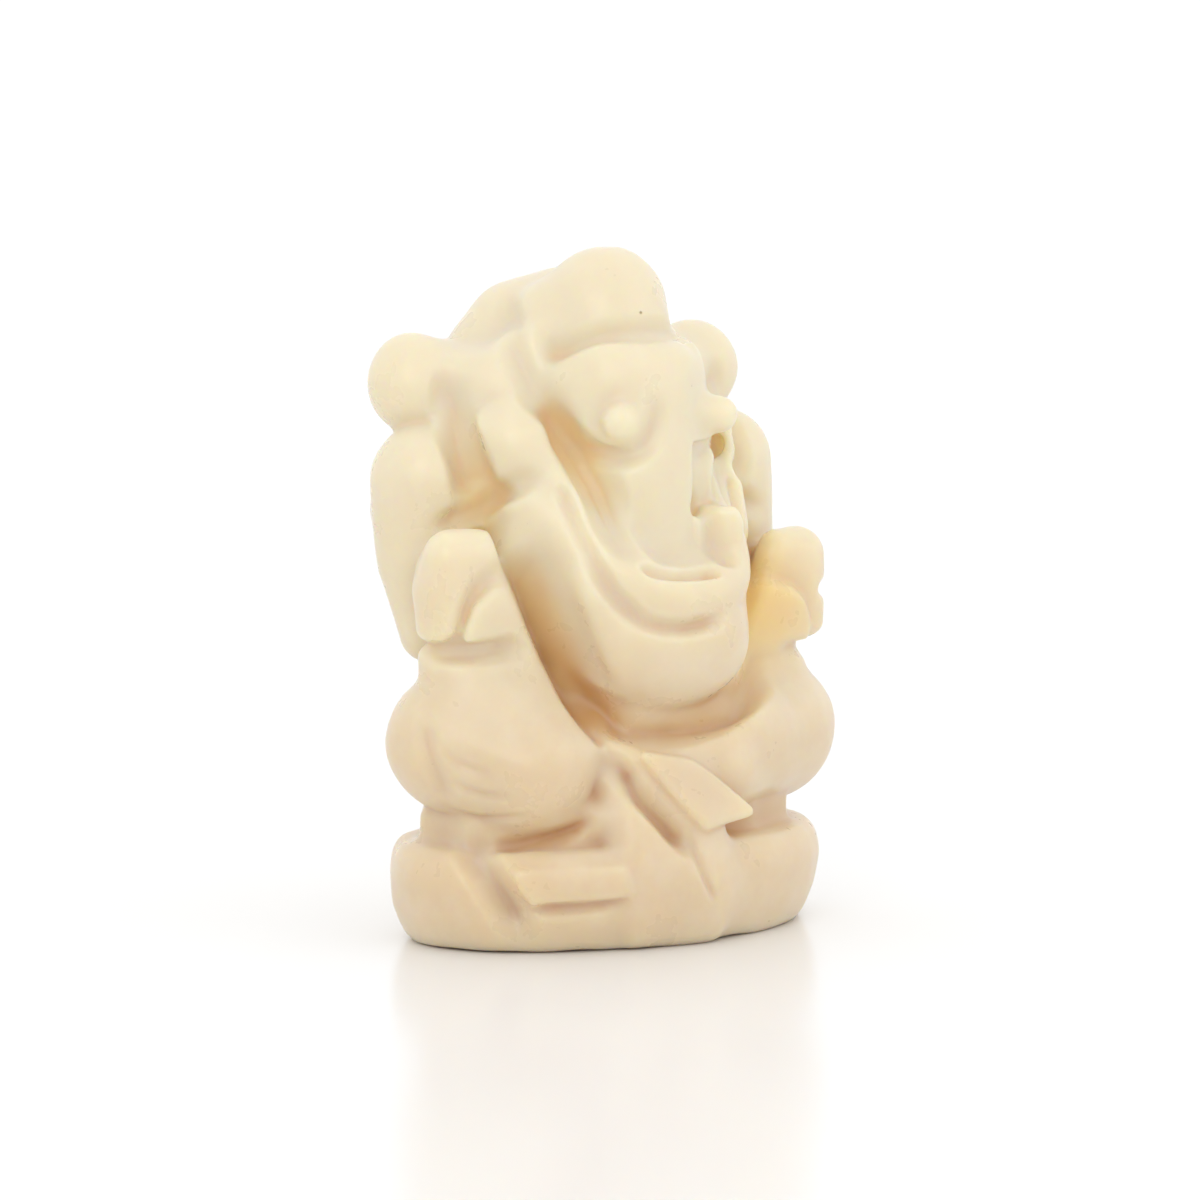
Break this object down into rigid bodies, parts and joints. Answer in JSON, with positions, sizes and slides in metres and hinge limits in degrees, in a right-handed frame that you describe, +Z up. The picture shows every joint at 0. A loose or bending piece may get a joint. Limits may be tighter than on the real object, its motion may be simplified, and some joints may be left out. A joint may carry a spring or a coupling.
{
  "type": "ganesha idol",
  "caption": "Small seated Ganesha idol carved from one piece of polished translucent cream stone on its own oval plinth, a free-standing devotional figure.",
  "frame": {"origin": "middle of the flat underside of the plinth", "axes": "+Z up, the figure faces -Y, its own right hand is towards -X"},
  "size_m": [0.0374, 0.0239, 0.05],
  "materials": {
    "stone": "polished translucent stone"
  },
  "bodies": {
    "root": {"plinth": "stone", "cloth_fall": "stone", "right_leg": "stone", "left_leg": "stone", "right_foot": "stone", "left_foot": "stone", "back": "stone", "torso": "stone", "belly": "stone", "jaw": "stone", "head": "stone", "trunk": "stone", "trunk_tip": "stone", "right_eye": "stone", "left_eye": "stone", "right_ear": "stone", "left_ear": "stone", "crown": "stone", "hair": "stone", "right_rear_arm": "stone", "left_rear_arm": "stone", "right_rear_hand": "stone", "left_rear_hand": "stone", "right_wrist": "stone", "left_wrist": "stone", "right_hand": "stone", "left_hand": "stone", "right_thumb": "stone", "left_thumb": "stone"}
  },
  "joints": []
}
